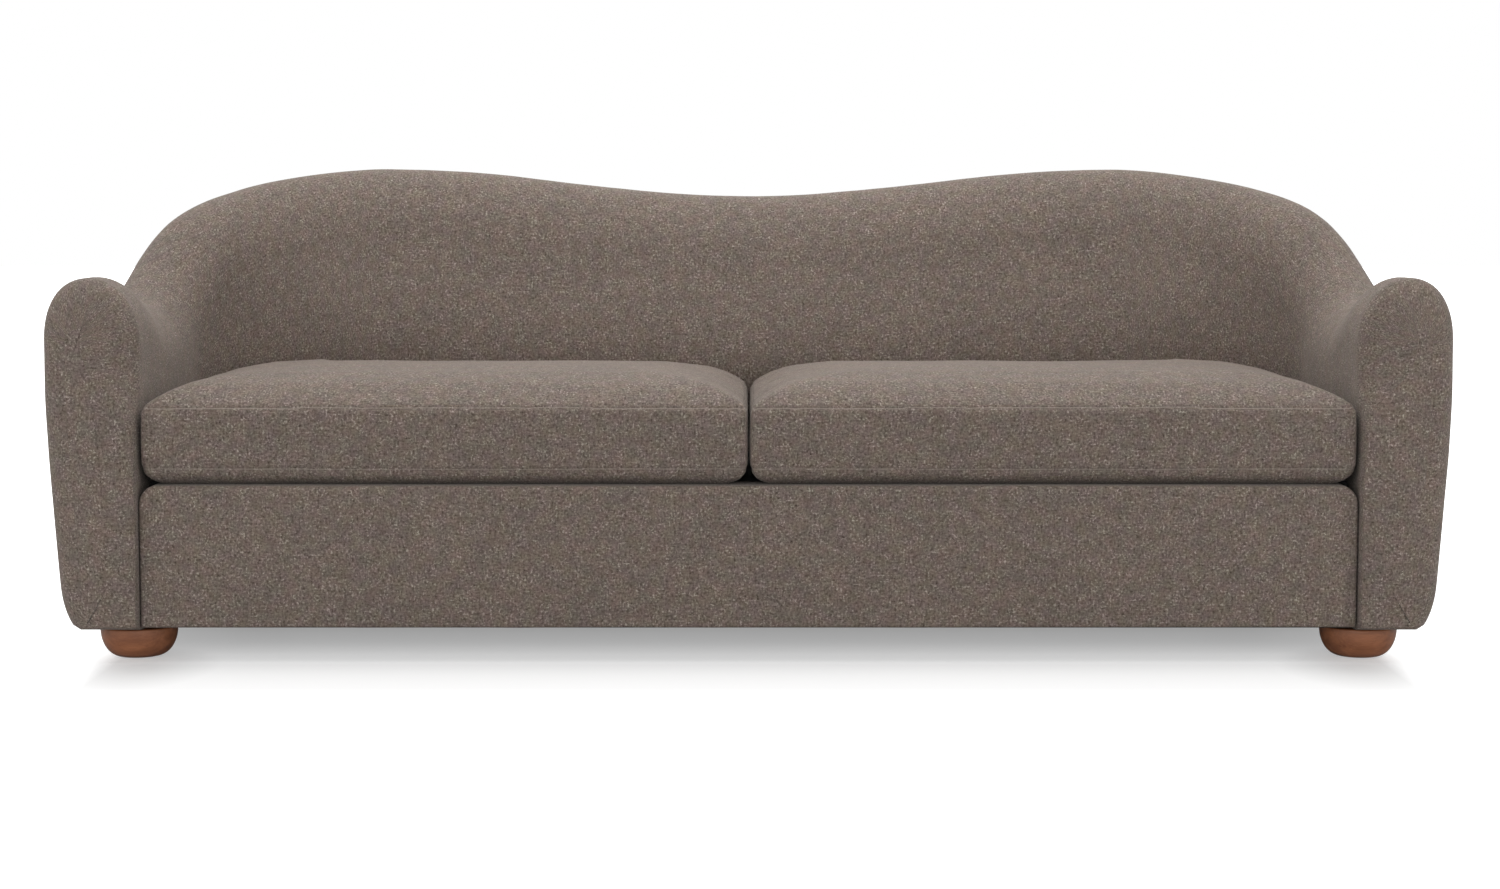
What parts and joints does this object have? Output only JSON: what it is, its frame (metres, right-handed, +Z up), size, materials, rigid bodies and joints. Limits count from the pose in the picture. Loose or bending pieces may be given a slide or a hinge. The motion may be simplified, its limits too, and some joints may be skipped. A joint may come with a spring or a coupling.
{
  "type": "camelback sofa",
  "caption": "Upholstered sofa with a double-humped back that sweeps round into wave-topped arms, loose boxed seat cushions, a plain front band and turned bun feet.",
  "frame": {"origin": "on the floor, under the middle of the sofa's box", "axes": "+X along the sofa to the right of someone who looks at its front, +Y to the back, +Z up; the seat faces -Y"},
  "size_m": [2.36, 0.98, 0.8359],
  "materials": {
    "upholstery": "matte",
    "undercloth": "matte",
    "webbing": "matte",
    "zip_tape": "matte",
    "foam": "matte",
    "frame_wood": "matte",
    "foot_wood": "satin",
    "steel": "satin"
  },
  "bodies": {
    "sofa_frame": {"front_rail": "frame_wood", "left_side_rail": "frame_wood", "right_side_rail": "frame_wood", "rear_rail": "frame_wood", "left_stretcher": "frame_wood", "centre_stretcher": "frame_wood", "right_stretcher": "frame_wood", "spring_rail": "frame_wood", "front_left_foot_block": "frame_wood", "front_right_foot_block": "frame_wood", "rear_left_foot_block": "frame_wood", "rear_right_foot_block": "frame_wood", "front_left_foot": "foot_wood", "front_right_foot": "foot_wood", "rear_left_foot": "foot_wood", "rear_right_foot": "foot_wood", "front_left_foot_bolt": "steel", "front_right_foot_bolt": "steel", "rear_left_foot_bolt": "steel", "rear_right_foot_bolt": "steel", "left_arm_top_rail": "frame_wood", "crest_rail": "frame_wood", "right_arm_top_rail": "frame_wood", "left_arm_front_rib": "frame_wood", "left_arm_rear_rib": "frame_wood", "left_corner_rib": "frame_wood", "left_back_rib": "frame_wood", "centre_back_rib": "frame_wood", "right_back_rib": "frame_wood", "right_corner_rib": "frame_wood", "right_arm_rear_rib": "frame_wood", "right_arm_front_rib": "frame_wood", "seat_spring_1": "steel", "seat_spring_2": "steel", "seat_spring_3": "steel", "seat_spring_4": "steel", "seat_spring_5": "steel", "seat_spring_6": "steel", "seat_spring_7": "steel", "seat_spring_8": "steel", "back_webbing": "webbing", "seat_deck": "undercloth", "dust_cover": "undercloth", "inside_back_pad": "upholstery", "left_inside_arm_pad": "upholstery", "right_inside_arm_pad": "upholstery", "left_arm_front_pad": "upholstery", "right_arm_front_pad": "upholstery", "outside_back_panel": "upholstery", "left_outside_arm_panel": "upholstery", "right_outside_arm_panel": "upholstery", "front_band": "upholstery"},
    "left_cushion": {"left_cushion_cover": "upholstery", "left_cushion_core": "foam", "left_cushion_zip": "zip_tape"},
    "right_cushion": {"right_cushion_cover": "upholstery", "right_cushion_core": "foam", "right_cushion_zip": "zip_tape"},
    "left_zip": {"left_zip_pull": "steel"},
    "right_zip": {"right_zip_pull": "steel"}
  },
  "joints": [
    {"name": "left_cushion_lift", "type": "slide", "parent": "sofa_frame", "child": "left_cushion", "axis": [0, 0, 1], "range_m": [0, 0.56]},
    {"name": "right_cushion_lift", "type": "slide", "parent": "sofa_frame", "child": "right_cushion", "axis": [0, 0, 1], "range_m": [0, 0.56]},
    {"name": "left_zip_slide", "type": "slide", "parent": "left_cushion", "child": "left_zip", "axis": [-1, 0, 0], "range_m": [0, 0.5]},
    {"name": "right_zip_slide", "type": "slide", "parent": "right_cushion", "child": "right_zip", "axis": [1, 0, 0], "range_m": [0, 0.5]}
  ]
}
